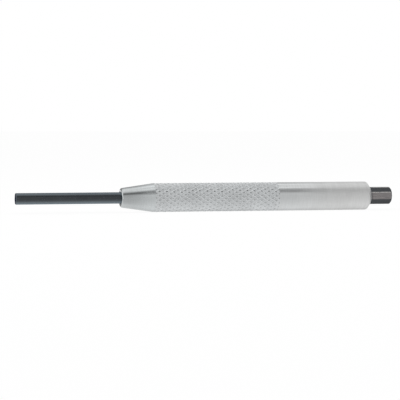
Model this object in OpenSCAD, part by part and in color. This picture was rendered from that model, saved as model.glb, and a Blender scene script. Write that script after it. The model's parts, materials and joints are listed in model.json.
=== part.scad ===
// Parallel pin punch with a sliding guide sleeve, lying along X with its tip at the origin.
// The pin, the octagonal shank and the striking head are one bar, the drift. The sleeve slides
// on the shank and guides the pin. A sprung ball in the shank rubs on the sleeve's bore, so the
// sleeve stays where it is put. Units are millimetres, and Z is up.

/* [Drift] */
// Diameter of the round pin over its working length
pin_d = 4.9; // [3.9:0.1:5.8]
// Length of pin that stands out of the nose at rest
pin_out_l = 45.5; // [30:0.5:60]
// Edge break round the flat tip
tip_break = 0.15; // [0.05:0.05:0.4]
// How much thicker the pin's root is, on the radius, where it stays in the nose at rest
root_step = 0.05; // [0.02:0.01:0.1]
// Length of the cone between the pin and its root
root_cone_l = 1; // [0.6:0.1:3]
// Width of the octagonal shank across its flats
shank_af = 7.5; // [7:0.1:8.4]
// Length of head that stands out behind the sleeve at rest
head_out_l = 10; // [6:0.5:16]
// Chamfer turned on the striking end, measured at the octagon's corners
head_chamfer = 0.8; // [0.5:0.1:1.2]

/* [Guide sleeve] */
// Outer diameter of the grip and the smooth tail
sleeve_d = 12.5; // [12:0.1:15]
// Diameter that the nose cone would have at the front face without its rounding
nose_d = 8.4; // [8:0.1:9.6]
// Length of the nose cone
nose_l = 14.5; // [10:0.5:20]
// Rounding of the nose's front edge
nose_round = 0.9; // [0.5:0.1:1.2]
// Length of the knurled grip
grip_l = 55.5; // [35:0.5:70]
// Length of the smooth tail, with its end chamfer
tail_l = 43; // [25:0.5:60]
// Width of the thin rim left round the bore at the tail's end
rim_land = 0.12; // [0.1:0.02:0.4]
// Angle of the tail's end chamfer from the axis
tail_chamfer_angle = 52; // [40:1:60]
// Length of the close bore that guides the pin in the nose
guide_l = 18; // [12:1:24]
// Edge break at the mouth of the close bore
guide_break = 0.15; // [0.05:0.05:0.3]

/* [Knurl] */
// Number of grooves of each hand round the grip
knurl_starts = 19; // [15:1:24]
// Nominal length of a diamond along the axis, fitted to a whole number of rows
knurl_pitch = 3.3; // [2.6:0.1:4.2]
// Depth of the grooves
knurl_depth = 0.35; // [0.15:0.05:0.5]
// Size of a diamond's flat top, as a share of the diamond
knurl_top_share = 0.38; // [0.2:0.02:0.6]
// Turn of each row against the last, as a share of the spacing round the grip
knurl_shift_share = 0.46; // [0.42:0.01:0.58]
// Turn of the whole pattern about the axis, in degrees
knurl_turn = 0; // [0:1:18]

/* [Detent] */
// Diameter of the detent ball
ball_d = 3; // [2.5:0.1:3.2]
// Distance of the ball behind the shank's front shoulder
ball_back = 9; // [6:0.5:20]
// Depth of the ball's well past the axis of the shank
well_past_axis = 1.6; // [1.2:0.1:1.8]
// Diameter of the well's staked mouth, which keeps the ball in
mouth_d = 2.6; // [2.3:0.05:2.7]
// Height of the staked lip at the well's mouth
mouth_lip = 0.25; // [0.15:0.05:0.3]
// Wire diameter of the detent spring
wire_d = 0.32; // [0.25:0.01:0.36]
// Number of open turns of the detent spring, between its two closed ends
open_turns = 3; // [2:0.5:4]

/* [Fits] */
// Radial clearance of the pin's root in the sleeve's close bore
guide_clear = 0.05; // [0.02:0.01:0.1]
// Radial clearance of the shank's corners in the sleeve's main bore
shank_clear = 0.06; // [0.02:0.01:0.1]
// Gap between the shank's front shoulder and its seat in the sleeve at rest
stop_gap = 0.1; // [0.02:0.02:0.3]
// Gap between the ball and the sleeve's bore
ball_gap = 0.05; // [0.02:0.01:0.08]
// Radial clearance of the ball in its well
well_clear = 0.05; // [0.03:0.01:0.1]
// Radial clearance of the spring in the well
spring_clear = 0.12; // [0.05:0.01:0.2]
// Gap at each end of the spring, to the ball and to the well's floor
spring_gap = 0.05; // [0.02:0.01:0.1]

/* [Hidden] */
$fn = 96;

// How far a cutting shape runs past the face that it cuts
overrun = 1;
// How deep the knurled rod reaches into the plain ends of the sleeve
knurl_seat = 0.2;
// Drop of the knurl's end edges under the plain surface, where the grooves run out
knurl_end_drop = 0.03;
// Angle of the drill point that forms the seat in the sleeve and the floor of the well
drill_angle = 118;
// Number of flats on the shank
flats = 8;
// Steps in a turn of the spring, and sides of its wire
turn_steps = 16;
wire_sides = 8;
// Pitch of the spring's closed end turns, as a share of the wire's diameter
closed_pitch_share = 1.08;

// Radii of the drift
pin_r = pin_d / 2;
pin_root_r = pin_r + root_step;
shank_half = shank_af / 2;
shank_corner_r = shank_half / cos(180 / flats);

// Radii of the sleeve
sleeve_r = sleeve_d / 2;
nose_r = nose_d / 2;
guide_r = pin_root_r + guide_clear;
bore_r = shank_corner_r + shank_clear;
rim_r = bore_r + rim_land;

// Places along the axis, from the tip
nose_x = pin_out_l;
sleeve_l = nose_l + grip_l + tail_l;
tail_end_x = nose_x + sleeve_l;
head_x = tail_end_x + head_out_l;

// The drill point's seat between the two bores, and the shoulder that meets it
seat_slope = tan(drill_angle / 2);
seat_l = (bore_r - guide_r) / seat_slope;
shoulder_x = nose_x + guide_l + stop_gap + (shank_corner_r - guide_r) / seat_slope;
shoulder_l = (shank_corner_r - pin_root_r) / seat_slope;

// The end chamfer of the tail
tail_chamfer = sleeve_r - rim_r;
tail_chamfer_l = tail_chamfer / tan(tail_chamfer_angle);

// The nose cone and the circle that rounds its front edge
nose_angle = atan((sleeve_r - nose_r) / nose_l);
round_r_pos = nose_r + nose_round * (tan(nose_angle) - 1 / cos(nose_angle));
round_end_r = round_r_pos + nose_round * cos(nose_angle);
round_end_x = nose_round * (1 - sin(nose_angle));

// The knurl: rows half a diamond apart, and columns one start apart
knurl_rows = round(2 * grip_l / knurl_pitch);
row_l = grip_l / knurl_rows;
start_angle = 360 / knurl_starts;
root_r = sleeve_r - knurl_depth;
knurl_end_r = sleeve_r - knurl_end_drop;
core_r = root_r - knurl_seat;

// The detent: the ball touches the bore but for its gap, and the spring fills the well under it
ball_r = ball_d / 2;
ball_x = shoulder_x + ball_back;
ball_z = bore_r - ball_gap - ball_r;
well_r = ball_r + well_clear;
well_floor_z = -well_past_axis;
wire_r = wire_d / 2;
coil_r = well_r - spring_clear - wire_r;
coil_base_z = well_floor_z + spring_gap + wire_r;
coil_top_z = ball_z - sqrt(pow(ball_r + spring_gap + wire_r, 2) - pow(coil_r, 2));
closed_pitch = wire_d * closed_pitch_share;
open_pitch = (coil_top_z - coil_base_z - 2 * closed_pitch) / open_turns;
spring_turns = open_turns + 2;

// Turns a profile drawn as [radius, distance along the axis] about the X axis
module turned() rotate([0, 90, 0]) rotate_extrude() children();

// The sleeve's outside, with a waist that the knurled rod fills
module sleeve_blank() translate([nose_x, 0, 0]) turned() {
    polygon([
        [0, 0],
        [round_r_pos, 0],
        [round_end_r, round_end_x],
        [sleeve_r, nose_l],
        [sleeve_r, nose_l + knurl_seat],
        [core_r, nose_l + knurl_seat],
        [core_r, nose_l + grip_l - knurl_seat],
        [sleeve_r, nose_l + grip_l - knurl_seat],
        [sleeve_r, sleeve_l - tail_chamfer_l],
        [rim_r, sleeve_l],
        [0, sleeve_l]
    ]);
    translate([round_r_pos, nose_round]) circle(r = nose_round);
}

// The close bore for the pin, the conical seat and the main bore for the shank
module sleeve_bore() translate([nose_x, 0, 0]) turned() polygon([
    [0, -overrun],
    [guide_r + guide_break + overrun, -overrun],
    [guide_r + guide_break, 0],
    [guide_r, guide_break],
    [guide_r, guide_l],
    [bore_r, guide_l + seat_l],
    [bore_r, sleeve_l + overrun],
    [0, sleeve_l + overrun]
]);

// A point of the knurl at a place counted in rows and starts
function knurl_point(row, start, r) =
    let (a = start_angle * (start - row * knurl_shift_share) + knurl_turn)
    [nose_x + nose_l + row * row_l, r * cos(a), r * sin(a)];

// Radius at which two grooves cross: the root, or the surface where the grooves run out
function crossing_r(row) = row == 0 || row == knurl_rows ? knurl_end_r : root_r;

// Corner of a diamond's flat top, moved from its centre by shares of a row and a start
function top_point(row, start, along, round_about) = knurl_point(
    row + knurl_top_share * along,
    start + 1 / 2 + knurl_top_share * (round_about + along / 2),
    (row == 0 || row == knurl_rows) && along == 0 ? knurl_end_r : sleeve_r
);

// A solid rod that carries the diamonds: flat tops between two crossing families of grooves.
// Each diamond has four corners where grooves cross and a smaller flat top, and the rows at
// both ends are halves whose grooves run out at the surface.
module knurled_rod() {
    n = knurl_starts;
    last = knurl_rows;
    crossings = [for (row = [0 : last], start = [0 : n - 1]) knurl_point(row, start, crossing_r(row))];
    tops = [for (row = [0 : last], start = [0 : n - 1]) each [
        top_point(row, start, 0, -1 / 2),
        top_point(row, start, 0, 1 / 2),
        top_point(row, start, row == 0 ? 1 : -1, 0),
        top_point(row, start, row == last ? -1 : 1, 0)
    ]];
    first_top = len(crossings);
    function crossing(row, start) = row * n + (start + n) % n;
    function top(row, start, corner) = first_top + 4 * (row * n + start) + corner;
    function side(a, b, a_top, b_top) = [[a, b, b_top], [a, b_top, a_top]];
    // Corners of a flat top: 0 is low and 1 is high round the grip, 2 is forward and 3 is aft
    diamonds = [for (row = [1 : last - 1], start = [0 : n - 1])
        let (
            low = crossing(row, start), high = crossing(row, start + 1),
            fore = crossing(row - 1, start), aft = crossing(row + 1, start + 1),
            t = [for (corner = [0 : 3]) top(row, start, corner)]
        )
        each [
            [t[3], t[1], t[2]], [t[2], t[0], t[3]],
            each side(aft, high, t[3], t[1]), each side(high, fore, t[1], t[2]),
            each side(fore, low, t[2], t[0]), each side(low, aft, t[0], t[3])
        ]
    ];
    fore_halves = [for (start = [0 : n - 1])
        let (
            low = crossing(0, start), high = crossing(0, start + 1), aft = crossing(1, start + 1),
            t = [for (corner = [0, 1, 2]) top(0, start, corner)]
        )
        each [[t[2], t[1], t[0]], each side(aft, high, t[2], t[1]), each side(low, aft, t[0], t[2])]
    ];
    aft_halves = [for (start = [0 : n - 1])
        let (
            low = crossing(last, start), high = crossing(last, start + 1),
            fore = crossing(last - 1, start),
            t = [for (corner = [0, 1, 2]) top(last, start, corner)]
        )
        each [[t[1], t[2], t[0]], each side(high, fore, t[1], t[2]), each side(fore, low, t[2], t[0])]
    ];
    fore_end = [for (start = [0 : n - 1]) each [crossing(0, start), top(0, start, 0), top(0, start, 1)]];
    aft_end = [for (start = [n - 1 : -1 : 0])
        each [top(last, start, 1), top(last, start, 0), crossing(last, start)]];
    polyhedron(
        points = concat(crossings, tops),
        faces = concat(diamonds, fore_halves, aft_halves, [fore_end], [aft_end])
    );
}

module guide_sleeve() color([0.78, 0.79, 0.8]) difference() {
    union() {
        sleeve_blank();
        knurled_rod();
    }
    sleeve_bore();
}

// The octagonal bar, with a flat on each side and on top
module octagon_bar(from_x, to_x) translate([from_x, 0, 0]) rotate([0, 90, 0])
    rotate([0, 0, 180 / flats])
        cylinder(r = shank_corner_r, h = to_x - from_x, $fn = flats);

// The turned envelope of the shank, with its front shoulder and the chamfer at the striking end
module shank_envelope() turned() polygon([
    [0, shoulder_x - shoulder_l],
    [pin_root_r, shoulder_x - shoulder_l],
    [shank_corner_r + overrun, shoulder_x + overrun / seat_slope],
    [shank_corner_r + overrun, head_x - head_chamfer - overrun],
    [shank_corner_r - head_chamfer, head_x],
    [0, head_x]
]);

// The drilled well for the spring and the ball, with a drill point and a staked mouth
module ball_well() translate([ball_x, 0, 0]) rotate_extrude() polygon([
    [0, well_floor_z - well_r / seat_slope],
    [well_r, well_floor_z],
    [well_r, shank_half - mouth_lip],
    [mouth_d / 2, shank_half - mouth_lip],
    [mouth_d / 2, shank_half + overrun],
    [0, shank_half + overrun]
]);

module drift() color([0.2, 0.21, 0.23]) difference() {
    union() {
        turned() polygon([
            [0, 0],
            [pin_r - tip_break, 0],
            [pin_r, tip_break],
            [pin_r, pin_out_l],
            [pin_root_r, pin_out_l + root_cone_l],
            [pin_root_r, shoulder_x],
            [0, shoulder_x]
        ]);
        intersection() {
            octagon_bar(shoulder_x - shoulder_l - overrun, head_x);
            shank_envelope();
        }
    }
    ball_well();
}

module detent_ball() color([0.75, 0.76, 0.78])
    translate([ball_x, 0, ball_z]) sphere(r = ball_r);

// Height of the wire's centre after a number of turns: closed, open, then closed again
function coil_z(turn) = coil_base_z
    + closed_pitch * min(turn, 1)
    + open_pitch * min(max(turn - 1, 0), open_turns)
    + closed_pitch * max(turn - 1 - open_turns, 0);

module detent_spring() color([0.6, 0.62, 0.65]) translate([ball_x, 0, 0]) {
    rings = spring_turns * turn_steps;
    points = [for (ring = [0 : rings], side = [0 : wire_sides - 1])
        let (
            turn = ring / turn_steps,
            a = 360 * turn,
            b = 360 * side / wire_sides,
            r = coil_r + wire_r * cos(b)
        )
        [r * cos(a), r * sin(a), coil_z(turn) + wire_r * sin(b)]
    ];
    walls = [for (ring = [0 : rings - 1], side = [0 : wire_sides - 1])
        let (
            a = ring * wire_sides + side,
            b = ring * wire_sides + (side + 1) % wire_sides
        )
        each [[a, b, b + wire_sides], [a, b + wire_sides, a + wire_sides]]
    ];
    first_end = [for (side = [wire_sides - 1 : -1 : 0]) side];
    last_end = [for (side = [0 : wire_sides - 1]) rings * wire_sides + side];
    polyhedron(points = points, faces = concat(walls, [first_end], [last_end]));
}

guide_sleeve();
drift();
detent_ball();
detent_spring();
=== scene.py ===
"""Looks of the parallel pin punch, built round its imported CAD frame. Lengths are in metres."""

import json
import logging
import math
from dataclasses import dataclass, field
from enum import Enum
from typing import Any, Callable, Iterable

import bmesh
import bpy
from bmesh.types import BMEdge, BMesh, BMFace, BMVert
from mathutils import Matrix, Vector


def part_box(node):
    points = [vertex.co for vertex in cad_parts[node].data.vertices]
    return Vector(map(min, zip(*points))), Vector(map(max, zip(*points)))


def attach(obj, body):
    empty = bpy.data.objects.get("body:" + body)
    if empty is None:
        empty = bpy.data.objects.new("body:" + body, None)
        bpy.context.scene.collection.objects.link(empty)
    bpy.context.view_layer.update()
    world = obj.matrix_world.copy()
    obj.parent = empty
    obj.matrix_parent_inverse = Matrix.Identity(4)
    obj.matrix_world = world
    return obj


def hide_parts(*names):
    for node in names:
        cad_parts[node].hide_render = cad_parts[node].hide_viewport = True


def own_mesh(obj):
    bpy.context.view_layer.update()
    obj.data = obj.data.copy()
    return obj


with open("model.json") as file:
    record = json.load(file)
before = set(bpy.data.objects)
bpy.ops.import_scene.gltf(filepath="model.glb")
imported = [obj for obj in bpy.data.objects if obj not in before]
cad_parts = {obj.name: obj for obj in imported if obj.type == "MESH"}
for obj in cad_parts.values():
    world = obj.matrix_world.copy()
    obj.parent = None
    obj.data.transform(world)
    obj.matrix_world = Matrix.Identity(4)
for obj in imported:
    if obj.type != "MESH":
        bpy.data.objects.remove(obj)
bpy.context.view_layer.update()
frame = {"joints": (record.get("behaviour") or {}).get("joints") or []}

log = logging.getLogger("pin_punch")
logging.basicConfig(level=logging.INFO, format="%(name)s: %(message)s")

Piece = bpy.types.Object
Socket = bpy.types.NodeSocket
Pair = tuple[float, float]
Colour = tuple[float, float, float]

MM = 0.001
MERGE = 1e-7
ROLLED_MERGE = 1e-6
X_AXIS = Vector((1.0, 0.0, 0.0))
Z_AXIS = Vector((0.0, 0.0, 1.0))
WHITE: Colour = (1.0, 1.0, 1.0)
DRILL_SLOPE = math.tan(math.radians(118) / 2)
BALL_JOINT = "ball_press"
# A Mix node's sockets for its factor and two colours, and the one for the mixed colour
MIX_INPUTS = (0, 6, 7)
MIX_OUTPUT = 2


class Slot(Enum):
    """The record's material slots."""

    SLEEVE = "plated_steel"
    DRIFT = "blackened_steel"
    BALL = "bearing_steel"
    SPRING = "spring_wire"


class Body(Enum):
    """The moving bodies of the punch."""

    SLEEVE = "sleeve"
    DRIFT = "drift"
    BALL = "ball"


class Cut(Enum):
    """How a cutter shapes a piece."""

    TO_SHAPE = "INTERSECT"
    AWAY = "DIFFERENCE"


# Mesh helpers


def radius_of(point: Vector) -> float:
    """Return the distance of a point from the punch's axis."""
    return math.hypot(point.y, point.z)


def profile_edges(bm: BMesh, points: Iterable[Pair], centre_x: float = 0.0) -> list[Any]:
    """Lay a chain of edges in the XZ plane.

    Args:
        bm: The mesh that gets the chain.
        points: Pairs of a place along X and a height.
        centre_x: Where along the punch the places are counted from.

    Returns:
        The chain's vertices and edges.
    """
    verts = [bm.verts.new((centre_x + x, 0.0, z)) for x, z in points]
    edges = [bm.edges.new(pair) for pair in zip(verts, verts[1:])]
    return [*verts, *edges]


def turn(
    bm: BMesh, chain: list[Any], steps: int, centre: Vector = Vector(), axis: Vector = X_AXIS
) -> None:
    """Spin a chain once round an axis and close the seam and the poles.

    Args:
        bm: The mesh that holds the chain.
        chain: Vertices and edges to spin.
        steps: Number of facets round the axis.
        centre: A point on the axis.
        axis: Direction of the axis.
    """
    bmesh.ops.spin(
        bm,
        geom=chain,
        cent=centre,
        axis=axis,
        dvec=Vector(),
        angle=math.tau,
        steps=steps,
        use_merge=True,
    )
    bmesh.ops.remove_doubles(bm, verts=bm.verts[:], dist=MERGE)
    bmesh.ops.dissolve_degenerate(bm, edges=bm.edges[:], dist=MERGE)


def whole(bm: BMesh) -> list[Any]:
    """Return every vertex, edge and face of a mesh."""
    return [*bm.verts, *bm.edges, *bm.faces]


def shift(bm: BMesh, geom: Iterable[Any], step: Vector) -> None:
    """Move the vertices among some geometry by a step."""
    bmesh.ops.translate(bm, verts=[item for item in geom if isinstance(item, BMVert)], vec=step)


def copy_to(bm: BMesh, geom: list[Any], step: Vector) -> None:
    """Copy some geometry and move the copy by a step."""
    shift(bm, bmesh.ops.duplicate(bm, geom=geom)["geom"], step)


def join(bm: BMesh, other: BMesh) -> None:
    """Move the geometry of another mesh into a mesh.

    Args:
        bm: The mesh that gets it.
        other: The mesh that is used up.
    """
    held = bpy.data.meshes.new("held")
    other.to_mesh(held)
    other.free()
    bm.from_mesh(held)
    bpy.data.meshes.remove(held)


def ring_edges(bm: BMesh, x: float, radius: float, slack: float = 0.02 * MM) -> list[BMEdge]:
    """Find the edges of the ring at a place along the axis and a radius.

    Args:
        bm: The mesh to look in.
        x: Place along the axis.
        radius: Radius of the ring.
        slack: How far off a vertex may lie.

    Returns:
        The ring's edges.
    """

    def on_ring(vert: BMVert) -> bool:
        """Tell whether a vertex lies on the ring."""
        return abs(vert.co.x - x) < slack and abs(radius_of(vert.co) - radius) < slack

    return [edge for edge in bm.edges if all(on_ring(vert) for vert in edge.verts)]


def round_edges(bm: BMesh, edges: list[BMEdge], width: float, segments: int) -> None:
    """Bevel edges with a round profile.

    Args:
        bm: The mesh that holds the edges.
        edges: The edges to round.
        width: Distance from the edge at which the rounding starts.
        segments: Number of facets across the rounding.
    """
    bmesh.ops.bevel(
        bm,
        geom=edges,
        offset=width,
        offset_type="OFFSET",
        affect="EDGES",
        segments=segments,
        profile=0.5,
        material=-1,
        clamp_overlap=True,
    )


def mark_sharp(bm: BMesh, angle: float, flat: Callable[[BMFace], bool] | None = None) -> None:
    """Shade a mesh smooth, but for its sharp edges and its flat faces.

    Args:
        bm: The mesh to shade.
        angle: Turn between two faces, in radians, past which their edge is sharp.
        flat: Test that picks the faces that are truly flat.
    """
    flats = {face for face in bm.faces if flat and flat(face)}
    for face in bm.faces:
        face.smooth = face not in flats
    for edge in bm.edges:
        turned = len(edge.link_faces) == 2 and edge.calc_face_angle(0.0) > angle
        borders = sum(face in flats for face in edge.link_faces) == 1
        edge.smooth = not (turned or borders)


def log_open_edges(bm: BMesh, name: str) -> None:
    """Log how many edges of a mesh are open."""
    log.info("%s: %d open edges", name, sum(edge.is_boundary for edge in bm.edges))


def finish_mesh(bm: BMesh, name: str) -> Piece:
    """Turn a finished bmesh into an object at the origin.

    Args:
        bm: The mesh, which is freed.
        name: Name of the piece.

    Returns:
        The new object.
    """
    bmesh.ops.recalc_face_normals(bm, faces=bm.faces[:])
    mesh = bpy.data.meshes.new(name)
    bm.to_mesh(mesh)
    bm.free()
    piece = bpy.data.objects.new(name, mesh)
    bpy.context.scene.collection.objects.link(piece)
    return piece


def combine(target: Piece, cutter: Piece, cut: Cut) -> None:
    """Cut one piece with another and drop the other.

    Args:
        target: The piece that stays.
        cutter: The piece that is used up.
        cut: How the cutter shapes the piece.
    """
    modifier = target.modifiers.new("combine", "BOOLEAN")
    modifier.object = cutter
    modifier.operation = cut.value
    modifier.solver = "EXACT"
    evaluated = target.evaluated_get(bpy.context.evaluated_depsgraph_get())
    mesh = bpy.data.meshes.new_from_object(evaluated)
    target.modifiers.clear()
    old = target.data
    target.data = mesh
    mesh.name = target.name
    bpy.data.meshes.remove(old)
    spent = cutter.data
    bpy.data.objects.remove(cutter)
    bpy.data.meshes.remove(spent)


# Node graphs


@dataclass(frozen=True)
class Patches:
    """A cloudy pattern: its noise, and the levels made of that noise.

    Attributes:
        size: Size of a patch, or 1 on coordinates that are stretched already.
        detail: How many finer noises are laid over the first.
        roughness: How strong the finer ones are.
        low: The noise at which the levels start to change.
        high: The noise at which they stop.
        at_low: The level below the first.
        at_high: The level past the second.
    """

    size: float
    detail: float = 2.0
    roughness: float = 0.5
    low: float = 0.0
    high: float = 1.0
    at_low: float = 0.0
    at_high: float = 1.0


class Graph:
    """The node tree of a material or a world, with short ways to add nodes."""

    def __init__(self, owner: bpy.types.Material | bpy.types.World) -> None:
        """Empty the owner's node tree.

        Args:
            owner: The material or world that gets the nodes.
        """
        self.owner = owner
        self.shader: bpy.types.Node | None = None
        owner.use_nodes = True
        self.tree = owner.node_tree
        self.tree.nodes.clear()

    @classmethod
    def of_metal(cls, slot: Slot) -> "Graph":
        """Make a metal with a Principled shader joined to its output.

        Args:
            slot: The slot that the material is named for.

        Returns:
            The graph, whose shader is the Principled node.
        """
        graph = cls(bpy.data.materials.new(slot.value))
        graph.shader = graph.add("ShaderNodeBsdfPrincipled")
        graph.give("Metallic", 1.0)
        graph.close("ShaderNodeOutputMaterial", graph.shader)
        return graph

    def add(self, kind: str, **settings: Any) -> bpy.types.Node:
        """Add a node and set its properties.

        Args:
            kind: The node's type.
            settings: Values for its properties.

        Returns:
            The node.
        """
        node = self.tree.nodes.new(kind)
        for key, value in settings.items():
            setattr(node, key, value)
        return node

    def link(self, source: Socket, target: Socket) -> None:
        """Join two sockets."""
        self.tree.links.new(source, target)

    def close(self, kind: str, surface: bpy.types.Node) -> None:
        """Join a shader to a new output node."""
        self.link(surface.outputs[0], self.add(kind).inputs["Surface"])

    def put(self, socket: Socket, value: Any) -> None:
        """Link a socket to another socket, or set it to a plain value.

        Args:
            socket: The socket that takes the value.
            value: A socket, a number, a vector or a colour.
        """
        if isinstance(value, Socket):
            self.link(value, socket)
        elif isinstance(value, tuple) and len(value) < len(socket.default_value):
            socket.default_value = (*value, 1.0)
        else:
            socket.default_value = value

    def give(self, name: str, value: Any) -> None:
        """Put a value into one of the shader's sockets."""
        self.put(self.shader.inputs[name], value)

    def math(self, operation: str, first: Any, second: Any = 0.0, third: Any = 0.0) -> Socket:
        """Work out a value.

        Args:
            operation: A Math node's operation.
            first: Its first value.
            second: Its second value, where it takes two.
            third: Its third value, where it takes three.

        Returns:
            The result.
        """
        node = self.add("ShaderNodeMath", operation=operation)
        for socket, value in zip(node.inputs, (first, second, third)):
            self.put(socket, value)
        return node.outputs[0]

    def times(self, first: Any, *others: Any) -> Socket:
        """Multiply values.

        Args:
            first: The first value.
            others: What it is multiplied by, one after another.

        Returns:
            The product.
        """
        for value in others:
            first = self.math("MULTIPLY", first, value)
        return first

    def rest_of(self, share: Any) -> Socket:
        """Return what is left of 1 when a share is taken off."""
        return self.math("SUBTRACT", 1.0, share)

    def ramp(
        self, value: Any, low: float, high: float, at_low: float = 0.0, at_high: float = 1.0
    ) -> Socket:
        """Move a value smoothly from one range to another.

        Args:
            value: The value.
            low: Where the ramp starts.
            high: Where it ends.
            at_low: The level below its start.
            at_high: The level past its end.

        Returns:
            The level.
        """
        node = self.add("ShaderNodeMapRange", interpolation_type="SMOOTHSTEP")
        names = ("Value", "From Min", "From Max", "To Min", "To Max")
        for name, given in zip(names, (value, low, high, at_low, at_high)):
            self.put(node.inputs[name], given)
        return node.outputs["Result"]

    def between(self, share: Any, levels: Pair) -> Socket:
        """Return the level that stands a share of the way between two."""
        return self.ramp(share, 0.0, 1.0, *levels)

    def levels(self, value: Any, stops: tuple[Pair, ...], low: float, high: float) -> Socket:
        """Read a level off a broken line.

        Args:
            value: Where along the line, from 0 to 1.
            stops: Pairs of a place and the level there, in rising order.
            low: The place that stands at 0.
            high: The place that stands at 1.

        Returns:
            The level.
        """
        node = self.add("ShaderNodeValToRGB")
        line = node.color_ramp.elements
        while len(line) < len(stops):
            line.new(0.5)
        for stop, (place, level) in zip(line, stops):
            stop.position = (place - low) / (high - low)
            stop.color = (level, level, level, 1.0)
        self.put(node.inputs["Fac"], value)
        return node.outputs["Color"]

    def noise(self, vector: Socket, look: Patches) -> Socket:
        """Add the noise of a pattern.

        Args:
            vector: Where the noise is read.
            look: The pattern.

        Returns:
            The noise, from 0 to 1.
        """
        node = self.add("ShaderNodeTexNoise")
        names = ("Vector", "Scale", "Detail", "Roughness")
        for name, given in zip(names, (vector, 1 / look.size, look.detail, look.roughness)):
            self.put(node.inputs[name], given)
        return node.outputs["Fac"]

    def graded(self, noise: Socket, look: Patches) -> Socket:
        """Return the levels that a pattern makes of its noise."""
        return self.ramp(noise, look.low, look.high, look.at_low, look.at_high)

    def patches(self, vector: Socket, look: Patches) -> Socket:
        """Return the levels of a pattern."""
        return self.graded(self.noise(vector, look), look)

    def blend(self, share: Any, first: Any, second: Any, mode: str = "MIX") -> Socket:
        """Mix two colours or levels.

        Args:
            share: How much of the second shows.
            first: The first colour.
            second: The second colour.
            mode: A Mix node's blending mode.

        Returns:
            The mixed colour.
        """
        node = self.add("ShaderNodeMix", data_type="RGBA", blend_type=mode)
        for place, value in zip(MIX_INPUTS, (share, first, second)):
            self.put(node.inputs[place], value)
        return node.outputs[MIX_OUTPUT]

    def vector(self, x: Any, y: Any, z: Any) -> Socket:
        """Make a vector of three values.

        Args:
            x: The first value.
            y: The second value.
            z: The third value.

        Returns:
            The vector.
        """
        node = self.add("ShaderNodeCombineXYZ")
        for socket, value in zip(node.inputs, (x, y, z)):
            self.put(socket, value)
        return node.outputs[0]

    def coordinates(self, kind: str) -> tuple[Socket, Any]:
        """Read one kind of coordinates.

        Args:
            kind: Name of Texture Coordinate's output.

        Returns:
            That output, and its X, Y and Z sockets.
        """
        point = self.add("ShaderNodeTexCoord").outputs[kind]
        node = self.add("ShaderNodeSeparateXYZ")
        self.link(point, node.inputs[0])
        return point, node.outputs

    def bump(self, height: Socket, distance: float, strength: float = 1.0, under: Any = None) -> Socket:
        """Bump the surface by a height.

        Args:
            height: The height, from 0 to 1.
            distance: How high 1 is.
            strength: How much of the bump shows.
            under: The normal of a bump that lies under this one.

        Returns:
            The bumped normal.
        """
        node = self.add("ShaderNodeBump")
        for name, given in zip(("Strength", "Distance", "Height"), (strength, distance, height)):
            self.put(node.inputs[name], given)
        if under is not None:
            self.link(under, node.inputs["Normal"])
        return node.outputs["Normal"]

    def rays(self) -> tuple[Socket, Socket]:
        """Tell the rays that show the backdrop from those that light the punch.

        Returns:
            Whether a ray comes from the camera or through glass, and whether it is a reflection.
        """
        rays = self.add("ShaderNodeLightPath").outputs
        plain = self.math("MAXIMUM", rays["Is Camera Ray"], rays["Is Transmission Ray"])
        return plain, rays["Is Glossy Ray"]


@dataclass(frozen=True)
class Axial:
    """Cylindrical coordinates round the punch's axis, read from Object coordinates."""

    graph: Graph
    point: Socket
    along: Socket
    angle: Socket
    radius: Socket

    @classmethod
    def of(cls, graph: Graph) -> "Axial":
        """Add the nodes that work the coordinates out.

        Args:
            graph: The material's graph.

        Returns:
            The coordinates' sockets.
        """
        point, (x, y, z) = graph.coordinates("Object")
        squares = graph.math("ADD", graph.times(y, y), graph.times(z, z))
        angle = graph.math("ARCTAN2", z, y)
        return cls(graph, point, x, angle, graph.math("SQRT", squares))

    def round_marks(self, pitch: float, breaks: float) -> Socket:
        """Stretch a pattern round the axis, as a lathe's marks are.

        Args:
            pitch: Width of a mark along the axis.
            breaks: How fast the pattern changes round the axis.

        Returns:
            The coordinates of such a pattern.
        """
        g = self.graph
        return g.vector(g.times(self.along, 1 / pitch), g.times(self.angle, breaks), 0.0)

    def length_marks(self, length: float, breaks: float, depth: float) -> Socket:
        """Stretch a pattern along the axis, as a drawn bar's grain is.

        Args:
            length: Length of a mark along the axis.
            breaks: How fast the pattern changes round the axis.
            depth: Size of a mark towards the axis.

        Returns:
            The coordinates of such a pattern.
        """
        g = self.graph
        along = g.times(self.along, 1 / length)
        return g.vector(along, g.times(self.angle, breaks), g.times(self.radius, 1 / depth))


# Finishes


@dataclass(frozen=True)
class SleeveZones:
    """Shares from 0 to 1 that tell the sleeve's surfaces apart.

    Attributes:
        knurl: The knurled band.
        crest: The flat tops of its diamonds.
        tail: All that lies behind the knurl.
        plain: What isn't knurled, in front of the tail.
        polish: The plain part and the crests.
        buffed: Rises along the cone up to the knurl.
        blasted: Rises along the tail from the knurl.
    """

    knurl: Socket
    crest: Socket
    tail: Socket
    plain: Socket
    polish: Socket
    buffed: Socket
    blasted: Socket


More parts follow.
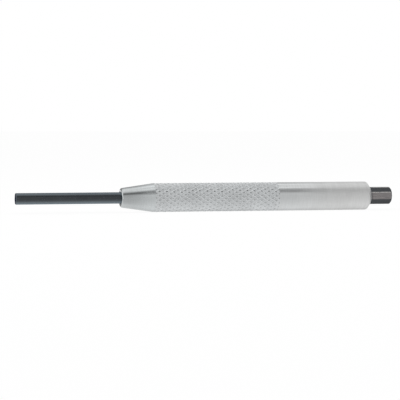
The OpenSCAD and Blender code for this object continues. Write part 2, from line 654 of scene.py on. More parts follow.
@dataclass(frozen=True)
class PlatedSteel:
    """Satin nickel on the turned and knurled sleeve."""

    sleeve_r: float
    knurl_depth: float
    knurl_start: float
    knurl_end: float
    bright: Colour = (0.60, 0.625, 0.63)
    buffed: Colour = (0.82, 0.855, 0.865)
    satin: Colour = (0.85, 0.87, 0.875)
    blasted: Colour = (0.92, 0.925, 0.92)
    rolled: Colour = (0.93, 0.95, 0.96)
    crown: Colour = (0.60, 0.62, 0.625)
    grime: Colour = (0.40, 0.405, 0.40)
    buffed_l: float = 12 * MM
    blasted_l: float = 32 * MM
    tail_fade: float = 0.1 * MM
    knurl_reach: float = 2.0
    crest_band: Pair = (0.02 * MM, 0.01 * MM)
    grime_low: float = 0.01 * MM
    grime_share: float = 0.3
    dulling: float = 0.05
    bright_roughness: Pair = (0.10, 0.27)
    flank_roughness: float = 0.62
    tail_roughness: Pair = (0.29, 0.50)
    cloud: Patches = Patches(9 * MM, 3.0, 0.55, 0.35, 0.68)
    streak: Patches = Patches(1.0, 3.0, 0.65, 0.3, 0.7, 0.035, -0.035)
    dirt: Patches = Patches(1.3 * MM, low=0.2, high=0.8, at_high=0.25)
    smear: Patches = Patches(2.2 * MM, 3.0, 0.6, 0.3, 0.75, 0.0, 0.05)
    turning: Patches = Patches(1.0, 2.0, 0.6)
    peel: Patches = Patches(0.5 * MM, 3.0)
    streak_l: float = 0.55 * MM
    streak_breaks: float = 0.7
    turning_pitch: float = 0.07 * MM
    turning_breaks: float = 0.8
    turning_height: float = 0.0009 * MM
    peel_height: float = 0.0025 * MM

    def zones(self, axial: Axial) -> SleeveZones:
        """Tell the sleeve's surfaces apart by their place.

        Args:
            axial: Coordinates round the punch's axis.

        Returns:
            The shares.
        """
        g = axial.graph
        within = g.times(
            g.math("GREATER_THAN", axial.along, self.knurl_start),
            g.math("LESS_THAN", axial.along, self.knurl_end),
        )
        outer_r = self.sleeve_r - self.knurl_reach * self.knurl_depth
        knurl = g.times(within, g.math("GREATER_THAN", axial.radius, outer_r))
        crest = g.ramp(axial.radius, *(self.sleeve_r - under for under in self.crest_band))
        tail = g.ramp(axial.along, self.knurl_end - self.tail_fade, self.knurl_end + self.tail_fade)
        before = g.rest_of(tail)
        plain = g.times(before, g.rest_of(knurl))
        return SleeveZones(
            knurl=knurl,
            crest=crest,
            tail=tail,
            plain=plain,
            polish=g.math("MAXIMUM", plain, g.times(before, crest)),
            buffed=g.ramp(axial.along, self.knurl_start - self.buffed_l, self.knurl_start),
            blasted=g.ramp(axial.along, self.knurl_end, self.knurl_end + self.blasted_l),
        )

    def colour(self, axial: Axial, zones: SleeveZones) -> Socket:
        """Colour the surfaces, with clouds, fine rings and grime deep in the knurl.

        Args:
            axial: Coordinates round the punch's axis.
            zones: The sleeve's surfaces.

        Returns:
            The colour.
        """
        g = axial.graph
        tail = g.blend(zones.blasted, self.satin, self.blasted)
        flank = g.times(zones.knurl, g.rest_of(zones.crest))
        cone = g.blend(zones.buffed, self.bright, self.buffed)
        fine = g.blend(zones.plain, self.crown, cone)
        even = g.blend(zones.polish, g.blend(flank, tail, self.rolled), fine)
        rings = axial.round_marks(self.streak_l, self.streak_breaks)
        streaked = g.math("ADD", 1.0, g.patches(rings, self.streak))
        cloud = g.patches(axial.point, self.cloud)
        shade = g.math("MULTIPLY_ADD", cloud, -self.dulling, streaked)
        skin = g.blend(1.0, even, g.vector(shade, shade, shade), "MULTIPLY")
        root_r = self.sleeve_r - self.knurl_depth
        clean_r = root_r + self.grime_share * self.knurl_depth
        deep = g.times(zones.knurl, g.ramp(axial.radius, root_r + self.grime_low, clean_r, 1.0, 0.0))
        return g.blend(g.times(deep, g.patches(axial.point, self.dirt)), skin, self.grime)

    def roughness(self, axial: Axial, zones: SleeveZones) -> Socket:
        """Set how rough each surface is, with faint smears.

        Args:
            axial: Coordinates round the punch's axis.
            zones: The sleeve's surfaces.

        Returns:
            The roughness.
        """
        g = axial.graph
        flank = (self.flank_roughness,) * 3
        matte = g.blend(zones.tail, flank, g.between(zones.blasted, self.tail_roughness))
        shine = g.blend(zones.polish, matte, g.between(zones.buffed, self.bright_roughness))
        return g.math("ADD", shine, g.patches(axial.point, self.smear))

    def relief(self, axial: Axial) -> Socket:
        """Bump the surface with the plating's peel and the lathe's marks.

        Args:
            axial: Coordinates round the punch's axis.

        Returns:
            The normal.
        """
        g = axial.graph
        peel = g.bump(g.noise(axial.point, self.peel), self.peel_height)
        lines = axial.round_marks(self.turning_pitch, self.turning_breaks)
        return g.bump(g.noise(lines, self.turning), self.turning_height, under=peel)

    def material(self) -> bpy.types.Material:
        """Make the finish.

        Returns:
            The material.
        """
        g = Graph.of_metal(Slot.SLEEVE)
        axial = Axial.of(g)
        zones = self.zones(axial)
        g.give("Base Color", self.colour(axial, zones))
        g.give("Roughness", self.roughness(axial, zones))
        g.give("Normal", self.relief(axial))
        return g.owner


@dataclass(frozen=True)
class BlackOxide:
    """Oil-blackened steel: dark pin with a painted sheen at its outline, drawn shank with alternate
    flats painted lighter as wear and as painted light, bright corners with a painted highlight on one
    side, and painted shade at the sleeve's mouth.
    """

    shank_half: float
    shank_start: float
    rub_start: float
    head_x: float
    base: Colour = (0.068, 0.074, 0.080)
    haze: Colour = (0.080, 0.088, 0.095)
    # The bluish colour the pin is painted towards its outline, a painted sheen
    oil_film_and_painted_sheen: Colour = (0.35, 0.42, 0.465)
    # Painted shade: the face at the pin's tip is coloured darker than the oxide
    painted_dark_end: Colour = (0.050, 0.058, 0.082)
    # Painted light and wear: the lighter brownish colour of the four flats square to Y and Z
    lit_rubbed: Colour = (0.49, 0.455, 0.45)
    # Bright bare steel: real dents on the struck face, and a painted highlight along the upper corners
    worn_and_highlight: Colour = (0.72, 0.71, 0.69)
    edge_tint: Colour = (0.32, 0.345, 0.385)
    end_skin: float = 0.02 * MM
    end_dulling: float = 0.35
    wear_l: float = 60 * MM
    # Painted shade: length and depth of the dip at the sleeve's rear mouth
    mouth_shade_l: float = 1.2 * MM
    mouth_shade: Pair = (0.4, 1.0)
    flat_half_turn: float = math.radians(45)
    flat_light: Pair = (0.09, 1.0)
    rub_share: float = 0.85
    corner_band: Pair = (1.055, 1.066)
    # Painted highlight: the side round the axis whose corners get it, and how far round it fades
    highlight_side: float = math.radians(100)
    highlight_turn: Pair = (-0.15, 0.5)
    cloud: Patches = Patches(6 * MM, 4.0, 0.6, 0.3, 0.7)
    specks: Patches = Patches(0.45 * MM, 3.0, 0.6, 0.58, 0.72, 0.0, 0.19)
    grain: Patches = Patches(1.0, 3.0, 0.65, 0.2, 0.75, 0.35, 1.0)
    chips: Patches = Patches(0.7 * MM, 4.0, 0.7, 0.3, 0.55, 0.25, 1.0)
    dents: Patches = Patches(1.1 * MM, 4.0, 0.6, 0.3, 0.7, 0.2, 0.55)
    gloss: Patches = Patches(0.9 * MM, 4.0, 0.6, 0.25, 0.75, 0.22, 0.32)
    grinding: Patches = Patches(1.0, 2.0, 0.6)
    grain_l: float = 3 * MM
    grain_breaks: float = 40.0
    grain_depth: float = 0.4 * MM
    grain_height: float = 0.006 * MM
    grain_strength: float = 0.6
    grinding_pitch: float = 0.06 * MM
    grinding_breaks: float = 0.9
    grinding_height: float = 0.0012 * MM

    def oxide(self, axial: Axial, at_tip: Socket) -> Socket:
        """Colour the dark skin: a bluish painted sheen towards the outline of the round part, with
        specks, and an end face painted darker as shade.

        Args:
            axial: Coordinates round the punch's axis.
            at_tip: Whether a place is on the face at the pin's tip.

        Returns:
            The colour.
        """
        g = axial.graph
        on_shank = g.math("GREATER_THAN", axial.along, self.shank_start)
        # Painted sheen: on the round pin only, the colour turns bluish and lighter towards the outline
        # by Layer Weight's facing; random specks add to it
        facing = g.add("ShaderNodeLayerWeight").outputs["Facing"]
        painted_sheen_share = g.times(facing, g.rest_of(g.math("MAXIMUM", on_shank, at_tip)))
        sheen_and_specks = g.math("ADD", painted_sheen_share, g.patches(axial.point, self.specks))
        dark = g.blend(g.patches(axial.point, self.cloud), self.base, self.haze)
        return g.blend(at_tip, g.blend(sheen_and_specks, dark, self.oil_film_and_painted_sheen), self.painted_dark_end)

    def wear_and_mouth_shade(self, axial: Axial) -> Socket:
        """Tell how much the bar wears, more towards the head, with painted shade: a dip right at the
        sleeve's rear mouth that darkens the shank there.

        Args:
            axial: Coordinates round the punch's axis.

        Returns:
            The share, from 0 to 1.
        """
        g = axial.graph
        from_mouth = g.math("ABSOLUTE", g.math("SUBTRACT", axial.along, self.rub_start))
        wear = g.ramp(axial.along, self.rub_start - self.wear_l, self.rub_start)
        # Painted shade: the share dips right at the sleeve's rear mouth, darkening the shank as if the
        # rim shaded it
        return g.times(wear, g.ramp(from_mouth, 0.0, self.mouth_shade_l, *self.mouth_shade))

    def colour(self, axial: Axial, at_tip: Socket, grain: Socket) -> Socket:
        """Colour the bar: dark oxide, alternate flats painted lighter as wear and as painted light,
        bright corners with a painted highlight on one side, and a struck face.

        Args:
            axial: Coordinates round the punch's axis.
            at_tip: Whether a place is on the face at the pin's tip.
            grain: The noise of the bar's grain.

        Returns:
            The colour.
        """
        g = axial.graph
        wear_and_mouth_shade = self.wear_and_mouth_shade(axial)
        struck = g.math("GREATER_THAN", axial.along, self.head_x - self.end_skin)
        # Painted light and wear: the flats square to Y and Z take the lighter colour and the four
        # between them hardly, so alternate flats look lit and shaded; grain and the wear towards the
        # head streak it
        quarter = g.math("ABSOLUTE", g.math("COSINE", g.times(axial.angle, 2.0)))
        square = g.math("GREATER_THAN", quarter, math.cos(self.flat_half_turn))
        drawn = g.times(g.graded(grain, self.grain), g.rest_of(struck))
        lit_rub = g.times(g.between(square, self.flat_light), wear_and_mouth_shade, drawn, self.rub_share)
        # Painted highlight: the bright corner colour shows only on corners turned upwards and a little
        # to the front, broken by chips and fading towards the pin
        corner = g.ramp(axial.radius, *(self.shank_half * share for share in self.corner_band))
        side = g.math("COSINE", g.math("SUBTRACT", axial.angle, self.highlight_side))
        chips = g.patches(axial.point, self.chips)
        edge = g.times(corner, wear_and_mouth_shade, chips, g.ramp(side, *self.highlight_turn))
        dents = g.times(struck, g.patches(axial.point, self.dents))
        skin = g.blend(lit_rub, self.oxide(axial, at_tip), self.lit_rubbed)
        return g.blend(g.math("MAXIMUM", edge, dents), skin, self.worn_and_highlight)

    def relief(self, axial: Axial, grain: Socket) -> Socket:
        """Bump the surface with fine grinding and the bar's grain.

        Args:
            axial: Coordinates round the punch's axis.
            grain: The noise of the bar's grain.

        Returns:
            The normal.
        """
        g = axial.graph
        lines = axial.round_marks(self.grinding_pitch, self.grinding_breaks)
        ground = g.bump(g.noise(lines, self.grinding), self.grinding_height)
        return g.bump(grain, self.grain_height, self.grain_strength, ground)

    def material(self) -> bpy.types.Material:
        """Make the finish.

        Returns:
            The material.
        """
        g = Graph.of_metal(Slot.DRIFT)
        axial = Axial.of(g)
        at_tip = g.math("LESS_THAN", axial.along, self.end_skin)
        along = axial.length_marks(self.grain_l, self.grain_breaks, self.grain_depth)
        grain = g.noise(along, self.grain)
        gloss = g.patches(axial.point, self.gloss)
        g.give("Base Color", self.colour(axial, at_tip, grain))
        g.give("Specular Tint", self.edge_tint)
        g.give("Roughness", g.math("MULTIPLY_ADD", at_tip, self.end_dulling, gloss))
        g.give("Normal", self.relief(axial, grain))
        return g.owner


@dataclass(frozen=True)
class BearingSteel:
    """Polished ball steel with a faint rolled track."""

    polished: Colour = (0.70, 0.71, 0.72)
    track: Colour = (0.64, 0.645, 0.65)
    roughness: Pair = (0.06, 0.16)
    scuffs: Patches = Patches(0.4 * MM, 4.0, 0.7, 0.45, 0.62)
    scuff_height: float = 0.0008 * MM

    def material(self) -> bpy.types.Material:
        """Make the finish.

        Returns:
            The material.
        """
        g = Graph.of_metal(Slot.BALL)
        scuff = g.patches(g.coordinates("Object")[0], self.scuffs)
        g.give("Base Color", g.blend(scuff, self.polished, self.track))
        g.give("Roughness", g.between(scuff, self.roughness))
        g.give("Normal", g.bump(scuff, self.scuff_height))
        return g.owner


@dataclass(frozen=True)
class SpringWire:
    """Drawn spring wire with a thin film of oil."""

    wire: Colour = (0.42, 0.42, 0.41)
    oil: Colour = (0.24, 0.22, 0.19)
    roughness: Pair = (0.3, 0.18)
    oil_film_and_painted_sheen: Patches = Patches(0.8 * MM, 3.0, 0.6, 0.4, 0.65)
    drawing: Patches = Patches(0.09 * MM)
    drawing_height: float = 0.0015 * MM

    def material(self) -> bpy.types.Material:
        """Make the finish.

        Returns:
            The material.
        """
        g = Graph.of_metal(Slot.SPRING)
        point = g.coordinates("Object")[0]
        oil_film_and_painted_sheen = g.patches(point, self.oil_film_and_painted_sheen)
        g.give("Base Color", g.blend(oil_film_and_painted_sheen, self.wire, self.oil))
        g.give("Roughness", g.between(oil_film_and_painted_sheen, self.roughness))
        g.give("Normal", g.bump(g.noise(point, self.drawing), self.drawing_height))
        return g.owner


# Pieces


@dataclass
class GuideSleeve:
    """The sleeve: cone nose, diamond knurl, smooth tail and its two bores."""

    nose_x: float
    tail_x: float
    nose_l: float = 14.5 * MM
    grip_l: float = 55.5 * MM
    radius: float = 6.25 * MM
    nose_r: float = 4.2 * MM
    nose_round: float = 0.765 * MM
    nose_steps: int = 7
    cone_slope: float = 0.14
    chamfer_l: float = 1.57 * MM
    rim_r: float = 4.24 * MM
    rear_round: float = 0.4 * MM
    rear_steps: int = 4
    bore_r: float = 4.12 * MM
    guide_r: float = 2.55 * MM
    guide_l: float = 18 * MM
    guide_break: float = 0.15 * MM
    facets: int = 228
    starts: int = 19
    rows: int = 34
    depth: float = 0.22 * MM
    top_share: float = 0.37
    shift_share: float = 0.46
    crest: float = 0.04 * MM
    crest_steps: int = 2
    runout: float = 0.12 * MM
    bridge_l: float = 0.18 * MM
    fade_l: float = 1.2 * MM
    fade_share: float = 0.3
    knurl_reach: float = 1.2
    sharp_at: float = math.radians(34)

    @property
    def knurl_start(self) -> float:
        """Place where the knurl begins."""
        return self.nose_x + self.nose_l

    @property
    def knurl_end(self) -> float:
        """Place where the knurl ends."""
        return self.knurl_start + self.grip_l

    def diamond(self, bm: BMesh, row_l: float, start_w: float) -> None:
        """Shape one diamond of the knurl, laid out flat: a raised flat top with softened edges.

        Args:
            bm: The empty mesh that gets the diamond.
            row_l: Step from one row of diamonds to the next.
            start_w: Step from one diamond to the next round the grip.
        """
        half_w = start_w / 2
        lean = start_w * (1 / 2 - self.shift_share)
        corners = ((0.0, -half_w), (row_l, lean), (0.0, half_w), (-row_l, -lean))
        tile = bm.faces.new([bm.verts.new((x, y, 0.0)) for x, y in corners])
        inset = (1 - self.top_share) * row_l * half_w / math.hypot(row_l, half_w)
        tile.normal_update()
        bmesh.ops.inset_individual(
            bm,
            faces=[tile],
            thickness=inset,
            depth=0.0,
            use_even_offset=True,
            use_relative_offset=False,
        )
        shift(bm, tile.verts, Z_AXIS * self.depth)
        round_edges(bm, tile.edges[:], self.crest, self.crest_steps)

    def roll_up(self, vert: BMVert, start_w: float) -> None:
        """Move a vertex of the flat band round the grip, with shallower grooves at both ends.

        Args:
            vert: The vertex.
            start_w: Step from one diamond to the next round the grip.
        """
        angle = (vert.co.y + start_w / 2) / self.radius
        into = min(vert.co.x, self.grip_l - vert.co.x) / self.fade_l
        share = self.fade_share + (1 - self.fade_share) * min(max(into, 0.0), 1.0)
        reach = self.radius - (self.depth - vert.co.z) * share
        x = self.knurl_start + vert.co.x
        vert.co = Vector((x, reach * math.cos(angle), reach * math.sin(angle)))

    def knurl(self) -> BMesh:
        """Build the knurled band from one diamond: copied, trimmed and rolled up.

        Returns:
            The band's mesh, open at both ends.
        """
        bm = bmesh.new()
        row_l = self.grip_l / self.rows
        start_w = math.tau * self.radius / self.starts
        self.diamond(bm, row_l, start_w)
        tile = whole(bm)
        for place in range(1, self.starts):
            copy_to(bm, tile, Vector((0.0, place * start_w, 0.0)))
        ring = whole(bm)
        for row in range(1, self.rows + 1):
            copy_to(bm, ring, Vector((row * row_l, -row * self.shift_share * start_w, 0.0)))
        bmesh.ops.remove_doubles(bm, verts=bm.verts[:], dist=MERGE)
        for end, outwards in ((0.0, -X_AXIS), (self.grip_l, X_AXIS)):
            bmesh.ops.bisect_plane(
                bm,
                geom=whole(bm),
                dist=MERGE,
                plane_co=X_AXIS * end,
                plane_no=outwards,
                clear_outer=True,
            )
        for vert in bm.verts:
            self.roll_up(vert, start_w)
        bmesh.ops.remove_doubles(bm, verts=bm.verts[:], dist=ROLLED_MERGE)
        return bm

    def turned_body(self) -> BMesh:
        """Turn the plain surfaces, from behind the knurl through the bores to the cone.

        Returns:
            The body's mesh, open where the knurl goes.
        """
        bm = bmesh.new()
        seat_x = self.nose_x + self.guide_l
        seat_l = (self.bore_r - self.guide_r) / DRILL_SLOPE
        chain = profile_edges(
            bm,
            [
                (self.knurl_end + self.runout, self.radius),
                (self.tail_x - self.chamfer_l, self.radius),
                (self.tail_x, self.rim_r),
                (self.tail_x, self.bore_r),
                (seat_x + seat_l, self.bore_r),
                (seat_x, self.guide_r),
                (self.nose_x + self.guide_break, self.guide_r),
                (self.nose_x, self.guide_r + self.guide_break),
                (self.nose_x, self.nose_r),
                (self.knurl_start - self.runout, self.radius - self.runout * self.cone_slope),
            ],
        )
        turn(bm, chain, self.facets)
        rear = ring_edges(bm, self.tail_x - self.chamfer_l, self.radius)
        round_edges(bm, ring_edges(bm, self.nose_x, self.nose_r), self.nose_round, self.nose_steps)
        round_edges(bm, rear, self.rear_round, self.rear_steps)
        return bm

    def build(self) -> list[Piece]:
        """Build the sleeve as one closed mesh.

        Returns:
            The sleeve's object.
        """
        bm = self.turned_body()
        join(bm, self.knurl())
        for x in (self.knurl_start, self.knurl_end):
            near = [
                edge
                for edge in bm.edges
                if edge.is_boundary and all(abs(v.co.x - x) < self.bridge_l for v in edge.verts)
            ]
            bmesh.ops.bridge_loops(bm, edges=near)
        bmesh.ops.triangulate(bm, faces=[face for face in bm.faces if len(face.verts) > 4])
        log_open_edges(bm, "sleeve")
        inner_r = self.radius - self.knurl_reach * self.depth

        def in_knurl(face: BMFace) -> bool:
            """Tell whether a face is part of the knurl."""
            middle = face.calc_center_median()
            return self.knurl_start < middle.x < self.knurl_end and radius_of(middle) > inner_r

        mark_sharp(bm, self.sharp_at, in_knurl)
        return [finish_mesh(bm, "guide_sleeve_turned")]

    def dress(self, piece: Piece) -> None:
        """Give the sleeve its finish and its place in the table.

        Args:
            piece: The sleeve's object.
        """
        finish = PlatedSteel(self.radius, self.depth, self.knurl_start, self.knurl_end)
        piece.data.materials.append(finish.material())
        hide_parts("guide_sleeve")
        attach(piece, Body.SLEEVE.value)


@dataclass
class Drift:
    """The bar: working pin, thicker root, octagonal shank and striking head in one piece."""

    head_x: float
    pin_out_l: float
    sleeve_end_x: float
    guide_l: float = 18.0 * MM
    guide_r: float = 2.55 * MM
    stop_gap: float = 0.1 * MM
    pin_r: float = 2.45 * MM
    tip_break: float = 0.15 * MM
    root_r: float = 2.5 * MM
    root_cone_l: float = 1.0 * MM
    sides: int = 8
    shank_half: float = 3.75 * MM
    corner_round: float = 0.12 * MM
    corner_steps: int = 4
    head_chamfer: float = 0.8 * MM
    head_round: float = 0.12 * MM
    head_steps: int = 3
    ball_back: float = 9 * MM
    well_r: float = 1.55 * MM
    well_floor: float = -1.6 * MM
    well_steps: int = 48
    mouth_r: float = 1.3 * MM
    mouth_lip: float = 0.25 * MM
    mouth_over: float = 1 * MM
    spare: float = 0.6 * MM
    overrun: float = 5 * MM
    facets: int = 144
    sharp_at: float = math.radians(25)
    flat_w: float = 1.5 * MM
    endways: float = 0.999
    sideways: float = 0.01
    shoulder_l: float = 1 * MM
    rub_gap: float = 0.1 * MM

    @property
    def corner_r(self) -> float:
        """Radius of the octagon's sharp corners."""
        return self.shank_half / math.cos(math.pi / self.sides)

    @property
    def shoulder_x(self) -> float:
        """Place where the octagonal shank reaches its full width, just short of the sleeve's seat."""
        seat_l = (self.corner_r - self.guide_r) / DRILL_SLOPE
        return self.pin_out_l + self.guide_l + self.stop_gap + seat_l

    def envelope(self) -> Piece:
        """Turn the bar's round outline, with room for the octagon.

        Returns:
            The round bar.
        """
        bm = bmesh.new()
        wide_r = self.corner_r + self.spare
        head_r = self.corner_r - self.head_chamfer
        shoulder_l = (self.corner_r - self.root_r) / DRILL_SLOPE
        chain = profile_edges(
            bm,
            [
                (0.0, 0.0),
                (0.0, self.pin_r - self.tip_break),
                (self.tip_break, self.pin_r),
                (self.pin_out_l, self.pin_r),
                (self.pin_out_l + self.root_cone_l, self.root_r),
                (self.shoulder_x - shoulder_l, self.root_r),
                (self.shoulder_x + self.spare / DRILL_SLOPE, wide_r),
                (self.head_x - self.head_chamfer - self.spare, wide_r),
                (self.head_x, head_r),
                (self.head_x, 0.0),
            ],
        )
        turn(bm, chain, self.facets)
        round_edges(bm, ring_edges(bm, self.head_x, head_r), self.head_round, self.head_steps)
        return finish_mesh(bm, "drift_bar")

    def prism(self) -> Piece:
        """Draw the octagonal bar, with softly rounded corners, longer than the punch.

        Returns:
            The octagonal bar.
        """
        bm = bmesh.new()
        on_flat = Matrix.Rotation(math.pi / self.sides, 4, "Z")
        facing_x = Matrix.Rotation(math.pi / 2, 4, "Y") @ on_flat
        bmesh.ops.create_circle(
            bm, cap_ends=True, radius=self.corner_r, segments=self.sides, matrix=facing_x
        )
        shift(bm, bm.verts, -X_AXIS * self.overrun)
        made = bmesh.ops.extrude_face_region(bm, geom=bm.faces[:])["geom"]
        shift(bm, made, X_AXIS * (self.head_x + 2 * self.overrun))
        lengthwise = [
            edge
            for edge in bm.edges
            if abs(edge.verts[0].co.x - edge.verts[1].co.x) > self.overrun
        ]
        round_edges(bm, lengthwise, self.corner_round, self.corner_steps)
        return finish_mesh(bm, "octagon_bar")

    def well(self) -> Piece:
        """Turn the cutter for the ball's well, with its drill point and staked mouth.

        Returns:
            The cutter.
        """
        bm = bmesh.new()
        x = self.shoulder_x + self.ball_back
        lip_z = self.shank_half - self.mouth_lip
        top_z = self.shank_half + self.mouth_over
        outline = [
            (0.0, self.well_floor - self.well_r / DRILL_SLOPE),
            (self.well_r, self.well_floor),
            (self.well_r, lip_z),
            (self.mouth_r, lip_z),
            (self.mouth_r, top_z),
            (0.0, top_z),
        ]
        turn(bm, profile_edges(bm, outline, x), self.well_steps, X_AXIS * x, Z_AXIS)
        return finish_mesh(bm, "ball_well")

    def build(self) -> list[Piece]:
        """Build the bar as one closed mesh.

        Returns:
            The bar's object.
        """
        bar = self.envelope()
        combine(bar, self.prism(), Cut.TO_SHAPE)
        combine(bar, self.well(), Cut.AWAY)
        bm = bmesh.new()
        bm.from_mesh(bar.data)
        bmesh.ops.remove_doubles(bm, verts=bm.verts[:], dist=MERGE)

        def is_flat(face: BMFace) -> bool:
            """Tell the bar's end faces and its shank's flats from the rest.

            Args:
                face: A face of the bar.

            Returns:
                Whether the face is one of them.
            """
            facing = abs(face.normal.x)
            on_shank = face.calc_center_median().x > self.shoulder_x
            large = face.calc_area() > self.flat_w * self.flat_w
            return facing > self.endways or (facing < self.sideways and on_shank and large)

        mark_sharp(bm, self.sharp_at, is_flat)
        log_open_edges(bm, "drift")
        bm.to_mesh(bar.data)
        bm.free()
        return [bar]

    def dress(self, piece: Piece) -> None:
        """Give the bar its finish and its place in the table.

        Args:
            piece: The bar's object.
        """
        shank_x = self.shoulder_x + self.shoulder_l
        # Painted shade: the dark ring on the shank is centred just behind the sleeve's rear end
        mouth_x = self.sleeve_end_x + self.rub_gap
        finish = BlackOxide(self.shank_half, shank_x, mouth_x, self.head_x)
        piece.data.materials.clear()
        piece.data.materials.append(finish.material())
        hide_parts("drift")
        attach(piece, Body.DRIFT.value)


@dataclass
class Detent:
    """The sprung ball that rubs on the sleeve's bore."""

    ball_low: Vector
    ball_high: Vector
    spring_low: Vector
    spring_high: Vector
    press: float
    ball_steps: int = 5
    wire_r: float = 0.16 * MM
    wire_steps: int = 12
    turns: int = 3
    turn_steps: int = 28
    closed_share: float = 1.08
    sharp_at: float = math.radians(50)

    def build_ball(self) -> Piece:
        """Build the ball where its CAD node is.

        Returns:
            The ball's object.
        """
        bm = bmesh.new()
        centre = Matrix.Translation((self.ball_low + self.ball_high) / 2)
        reach = (self.ball_high.z - self.ball_low.z) / 2
        bmesh.ops.create_icosphere(bm, subdivisions=self.ball_steps, radius=reach, matrix=centre)
        mark_sharp(bm, math.pi)
        return finish_mesh(bm, "detent_ball_polished")

    def build_spring(self) -> Piece:
        """Wind the spring: a closed turn, the open turns and a closed turn.

        Returns:
            The spring's object.
        """
        bm = bmesh.new()
        axis_x = (self.spring_low.x + self.spring_high.x) / 2
        coil_r = (self.spring_high.x - self.spring_low.x) / 2 - self.wire_r
        closed = 2 * self.wire_r * self.closed_share
        height = self.spring_high.z - self.spring_low.z - 2 * self.wire_r
        rise = (height - 2 * closed) / self.turns
        start = Matrix.Translation((axis_x + coil_r, 0.0, self.spring_low.z + self.wire_r))
        upright = start @ Matrix.Rotation(math.pi / 2, 4, "X")
        made = bmesh.ops.create_circle(
            bm, cap_ends=False, radius=self.wire_r, segments=self.wire_steps, matrix=upright
        )["verts"]
        ring = [*made, *dict.fromkeys(edge for vert in made for edge in vert.link_edges)]
        for count, pitch in ((1, closed), (self.turns, rise), (1, closed)):
            ring = bmesh.ops.spin(
                bm,
                geom=ring,
                cent=X_AXIS * axis_x,
                axis=Z_AXIS,
                dvec=Z_AXIS * (pitch / self.turn_steps),
                angle=math.tau * count,
                steps=self.turn_steps * count,
                use_merge=False,
            )["geom_last"]
        ends = [edge for edge in bm.edges if edge.is_boundary]
        bmesh.ops.holes_fill(bm, edges=ends, sides=0)
        mark_sharp(bm, self.sharp_at)
        return finish_mesh(bm, "detent_spring_wound")

    def build(self) -> list[Piece]:
        """Build the ball and the spring."""
        return [self.build_ball(), self.build_spring()]

    def dress(self, ball: Piece, spring: Piece) -> None:
        """Give the ball and the spring their finishes and their places in the table.

        Args:
            ball: The ball's object.
            spring: The spring's object.
        """
        ball.data.materials.append(BearingSteel().material())
        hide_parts("detent_ball")
        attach(ball, Body.BALL.value)
        spring.data.materials.append(SpringWire().material())
        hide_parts("detent_spring")
        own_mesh(spring)
        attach(spring, Body.DRIFT.value)


# Studio


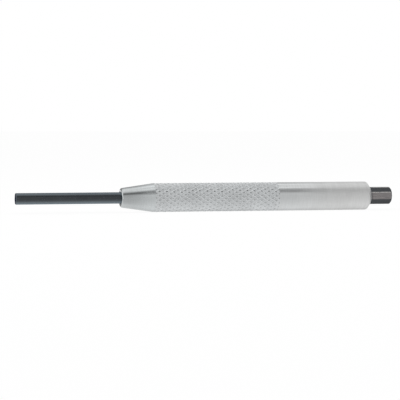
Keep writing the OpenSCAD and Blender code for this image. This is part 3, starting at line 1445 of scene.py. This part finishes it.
@dataclass(frozen=True)
class Studio:
    """White studio: a pale floor, a soft surround with darker bands, one large lamp, and the camera."""

    floor_z: float
    fill: float = 0.85
    target: Vector = field(default_factory=lambda: Vector((82.5 * MM, 0.0, 0.0)))
    azimuth: float = math.radians(14.0)
    elevation: float = math.radians(2.33)
    distance: float = 780 * MM
    focal_px: float = 1786.75
    frame_px: float = 400.0
    target_px: Pair = (202.94, 196.6)
    sensor_w: float = 36.0
    clipping: Pair = (0.01, 100.0)
    floor_half: float = 15.0
    floor_glow: float = 1.092
    floor_paint: float = 0.93
    floor_shown: float = 0.82
    floor_turn: Pair = (40 * MM, 64 * MM)
    floor_end: Pair = (-25 * MM, 0.0)
    sky_turn: Pair = (-0.06, 0.28)
    sky_end: Pair = (-0.9, -0.6)
    lamp_size: Pair = (0.9, 0.6)
    lamp_power: float = 0.8
    lamp_place: tuple[float, float, float] = (0.0, -0.1, 0.9)
    left_sky: tuple[Pair, ...] = (
        (0.0, 0.56),
        (20.0, 0.54),
        (32.0, 0.45),
        (41.0, 0.16),
        (48.0, 0.16),
        (57.0, 0.44),
        (68.0, 0.76),
        (82.0, 0.92),
        (98.0, 0.99),
        (112.0, 0.96),
        (124.0, 0.76),
        (133.0, 0.53),
        (150.0, 0.30),
        (180.0, 0.24),
    )
    right_sky: tuple[Pair, ...] = (
        (0.0, 0.58),
        (20.0, 0.61),
        (34.0, 0.59),
        (41.0, 0.49),
        (47.0, 0.15),
        (54.0, 0.14),
        (63.0, 0.40),
        (74.0, 0.58),
        (90.0, 0.71),
        (108.0, 0.71),
        (120.0, 0.66),
        (134.0, 0.54),
        (150.0, 0.52),
        (180.0, 0.50),
    )
    # Painted pool of light and painted contact shadow on the floor, seen only in the metal: levels
    # across Y in millimetres, under the pin and cone, then under the knurl and tail
    left_floor_painted_light: tuple[Pair, ...] = (
        (-40.0, 0.58),
        (-20.0, 0.60),
        (-12.0, 0.63),
        (-8.0, 0.65),
        (-6.0, 0.72),
        (-4.5, 0.83),
        (-3.0, 0.93),
        (0.0, 0.94),
        (6.0, 0.92),
        (15.0, 0.45),
        (40.0, 0.26),
    )
    right_floor_painted_light: tuple[Pair, ...] = (
        (-40.0, 0.58),
        (-20.0, 0.60),
        (-12.0, 0.64),
        (-8.0, 0.68),
        (-5.0, 0.74),
        (-3.5, 0.75),
        (-2.0, 0.62),
        (0.0, 0.60),
        (4.0, 0.76),
        (9.0, 0.50),
        (40.0, 0.50),
    )

    def camera(self) -> None:
        """Set the camera at the photograph's angle."""
        sin_a, cos_a = math.sin(self.azimuth), math.cos(self.azimuth)
        sin_e, cos_e = math.sin(self.elevation), math.cos(self.elevation)
        view = Vector((sin_a * cos_e, cos_a * cos_e, -sin_e))
        right = Vector((cos_a, -sin_a, 0.0))
        up = right.cross(view)
        middle = (self.frame_px - 1) / 2
        scale = self.distance / self.focal_px
        off_x, off_y = ((place - middle) * scale for place in self.target_px)
        aim = self.target - right * off_x + up * off_y
        data = bpy.data.cameras.new("photo_camera")
        data.sensor_width = self.sensor_w
        data.lens = self.focal_px * self.sensor_w / self.frame_px
        data.clip_start, data.clip_end = self.clipping
        camera = bpy.data.objects.new("photo_camera", data)
        camera.location = aim - view * self.distance
        camera.rotation_mode = "QUATERNION"
        camera.rotation_quaternion = view.to_track_quat("-Z", "Y")
        bpy.context.scene.collection.objects.link(camera)
        bpy.context.scene.camera = camera

    def surround(self) -> None:
        """Light the scene from all round, and show plain white to the camera."""
        g = Graph(bpy.data.worlds.new("studio"))
        x, y, z = g.coordinates("Generated")[1]
        turned = g.math("ARCTAN2", z, g.times(y, -1.0))
        over = g.math("DIVIDE", turned, math.pi)
        sides = [g.levels(over, sky, 0.0, 180.0) for sky in (self.left_sky, self.right_sky)]
        ahead = g.blend(g.ramp(x, *self.sky_turn), *sides)
        soft = g.blend(g.ramp(x, *self.sky_end, 1.0, 0.0), ahead, WHITE)
        plain, glossy = g.rays()
        shown = g.math("MAXIMUM", plain, glossy)
        sky = g.add("ShaderNodeBackground")
        g.put(sky.inputs["Color"], g.blend(plain, soft, WHITE))
        g.put(sky.inputs["Strength"], g.math("MULTIPLY_ADD", shown, 1 - self.fill, self.fill))
        g.close("ShaderNodeOutputWorld", sky)
        bpy.context.scene.world = g.owner

    def floor_material(self) -> bpy.types.Material:
        """Paint the floor: pale, and banded only where the metal mirrors it, with a painted pool of
        light and painted contact shadow under the punch.

        Returns:
            The material.
        """
        g = Graph(bpy.data.materials.new("studio_floor"))
        x, y, _ = g.coordinates("Object")[1]
        reach = self.left_floor_painted_light[-1][0]
        across = g.math("MULTIPLY_ADD", y, 0.5 / (reach * MM), 0.5)
        bands = (self.left_floor_painted_light, self.right_floor_painted_light)
        near = g.blend(
            g.ramp(x, *self.floor_turn), *(g.levels(across, band, -reach, reach) for band in bands)
        )
        # Painted light and shadow on the floor for reflections, fading to white in front of the tip
        painted_floor_light = g.blend(g.ramp(x, *self.floor_end, 1.0, 0.0), near, WHITE)
        plain, glossy = g.rays()
        paint = g.add("ShaderNodeBsdfDiffuse")
        g.put(paint.inputs["Color"], (self.floor_paint,) * 3)
        glow = g.add("ShaderNodeEmission")
        g.put(glow.inputs["Strength"], g.blend(plain, painted_floor_light, (self.floor_glow,) * 3))
        mix = g.add("ShaderNodeMixShader")
        g.put(mix.inputs[0], g.math("MAXIMUM", g.times(plain, self.floor_shown), glossy))
        g.link(paint.outputs[0], mix.inputs[1])
        g.link(glow.outputs[0], mix.inputs[2])
        g.close("ShaderNodeOutputMaterial", mix)
        return g.owner

    def floor(self) -> None:
        """Lay the pale floor under the sleeve."""
        bm = bmesh.new()
        under = Matrix.Translation((0.0, 0.0, self.floor_z))
        bmesh.ops.create_grid(bm, x_segments=1, y_segments=1, size=self.floor_half, matrix=under)
        plane = finish_mesh(bm, "studio_floor")
        plane.data.materials.append(self.floor_material())

    def lamp(self) -> None:
        """Hang one large soft lamp over the punch."""
        data = bpy.data.lights.new("overhead", "AREA")
        data.shape = "RECTANGLE"
        data.size, data.size_y = self.lamp_size
        data.energy = self.lamp_power
        lamp = bpy.data.objects.new("overhead", data)
        lamp.location = self.target + Vector(self.lamp_place)
        lamp.visible_glossy = False
        bpy.context.scene.collection.objects.link(lamp)

    def build(self) -> None:
        """Set up the camera, the surround, the floor and the lamp."""
        self.camera()
        self.surround()
        self.floor()
        self.lamp()
        bpy.context.scene.view_settings.view_transform = "Standard"


def main() -> None:
    """Build and dress every piece, then the studio."""
    sleeve_low, sleeve_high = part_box("guide_sleeve")
    drift_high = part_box("drift")[1]
    sleeve = GuideSleeve(nose_x=sleeve_low.x, tail_x=sleeve_high.x)
    drift = Drift(head_x=drift_high.x, pin_out_l=sleeve_low.x, sleeve_end_x=sleeve_high.x)
    press = next(joint["range_m"][1] for joint in frame["joints"] if joint["name"] == BALL_JOINT)
    detent = Detent(*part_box("detent_ball"), *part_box("detent_spring"), press)
    for maker in (sleeve, drift, detent):
        pieces = maker.build()
        maker.dress(*pieces)
        for piece in pieces:
            log.info("%s: %d faces", piece.name, len(piece.data.polygons))
    Studio(floor_z=-sleeve.radius).build()


if __name__ == "__main__":
    main()
